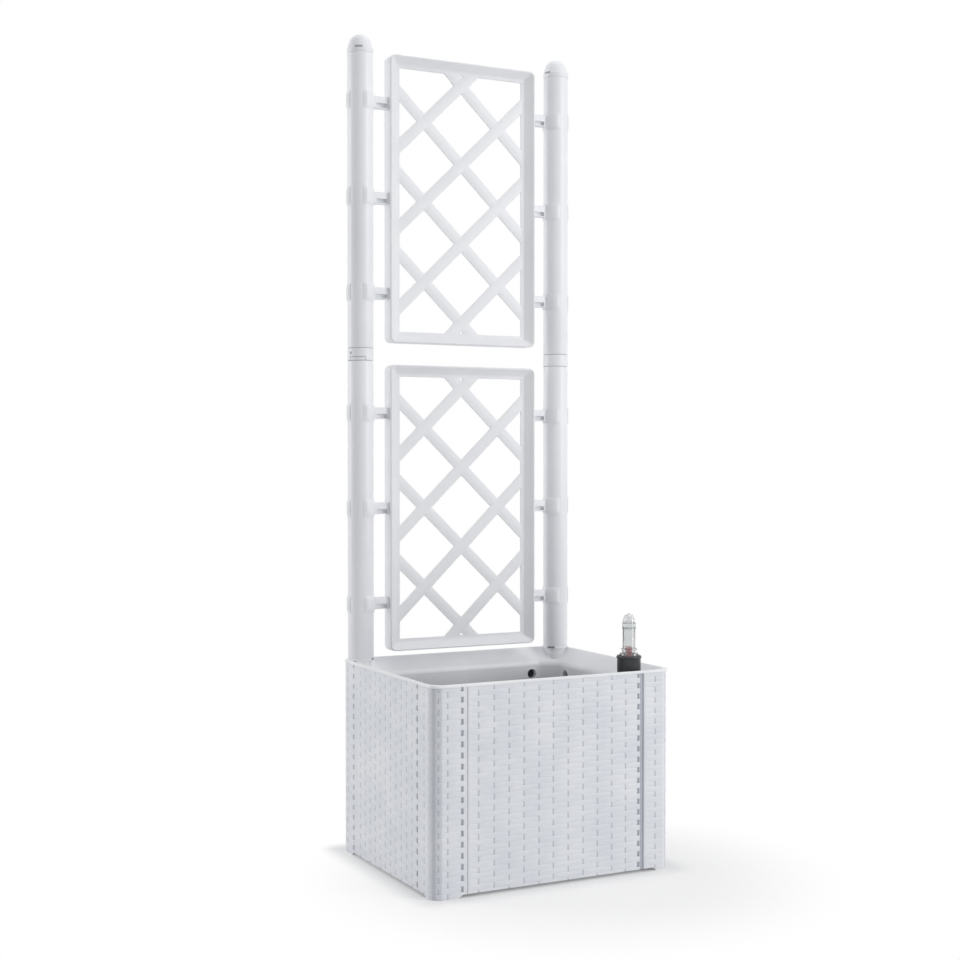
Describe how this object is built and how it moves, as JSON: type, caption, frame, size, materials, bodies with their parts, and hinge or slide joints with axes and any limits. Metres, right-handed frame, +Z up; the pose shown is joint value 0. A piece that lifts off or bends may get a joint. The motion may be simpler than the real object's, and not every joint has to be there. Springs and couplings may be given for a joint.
{
  "type": "planter with trellis",
  "caption": "Rectangular floor planter box with woven-look walls, an inner water-storing liner, a level indicator and a two-panel lattice trellis on round posts.",
  "frame": {"origin": "centre of the box's footprint, on the floor", "axes": "+Z up, +Y to the back, where the trellis stands, +X to the right"},
  "size_m": [0.43, 0.36, 1.384],
  "materials": {
    "box_plastic": "satin white polypropylene with a woven relief",
    "liner_plastic": "satin white polypropylene",
    "screw_plastic": "dark nylon",
    "floor_plastic": "satin white polypropylene",
    "shelf_plastic": "grey recycled polypropylene",
    "shaft_plastic": "satin white polypropylene",
    "post_plastic": "satin white extruded tube",
    "fitting_plastic": "satin white polypropylene",
    "clip_plastic": "satin white polypropylene",
    "trellis_plastic": "satin white polypropylene",
    "collar_plastic": "black",
    "guide_plastic": "black",
    "clear_plastic": "clear polystyrene",
    "marker_plastic": "red",
    "rod_plastic": "white",
    "float_foam": "closed-cell foam"
  },
  "bodies": {
    "planter": {"clip_lower_left_1": "clip_plastic", "clip_lower_left_2": "clip_plastic", "clip_lower_left_3": "clip_plastic", "clip_lower_right_1": "clip_plastic", "clip_lower_right_2": "clip_plastic", "clip_lower_right_3": "clip_plastic", "clip_upper_left_1": "clip_plastic", "clip_upper_left_2": "clip_plastic", "clip_upper_left_3": "clip_plastic", "clip_upper_right_1": "clip_plastic", "clip_upper_right_2": "clip_plastic", "clip_upper_right_3": "clip_plastic", "corner_back_left": "box_plastic", "corner_back_right": "box_plastic", "corner_front_left": "box_plastic", "corner_front_right": "box_plastic", "coupler_left": "fitting_plastic", "coupler_right": "fitting_plastic", "filler_shaft": "shaft_plastic", "floor_plate": "floor_plastic", "liner": "liner_plastic", "liner_screws": "screw_plastic", "post_base_left": "fitting_plastic", "post_base_right": "fitting_plastic", "post_cap_left": "fitting_plastic", "post_cap_right": "fitting_plastic", "post_lower_left": "post_plastic", "post_lower_right": "post_plastic", "post_upper_left": "post_plastic", "post_upper_right": "post_plastic", "soil_shelf": "shelf_plastic", "trellis_lower": "trellis_plastic", "trellis_upper": "trellis_plastic", "wall_back": "box_plastic", "wall_front": "box_plastic", "wall_left": "box_plastic", "wall_right": "box_plastic"},
    "indicator": {"indicator_collar": "collar_plastic", "indicator_guide": "guide_plastic", "indicator_tube": "clear_plastic", "indicator_cap": "clear_plastic"},
    "float": {"float_block": "float_foam", "float_rod": "rod_plastic", "float_marker": "marker_plastic"}
  },
  "joints": [
    {"name": "indicator_lift", "type": "slide", "parent": "planter", "child": "indicator", "axis": [0, 0, 1], "range_m": [0, 0.33]},
    {"name": "float_rise", "type": "slide", "parent": "indicator", "child": "float", "axis": [0, 0, 1], "range_m": [0, 0.045]}
  ]
}
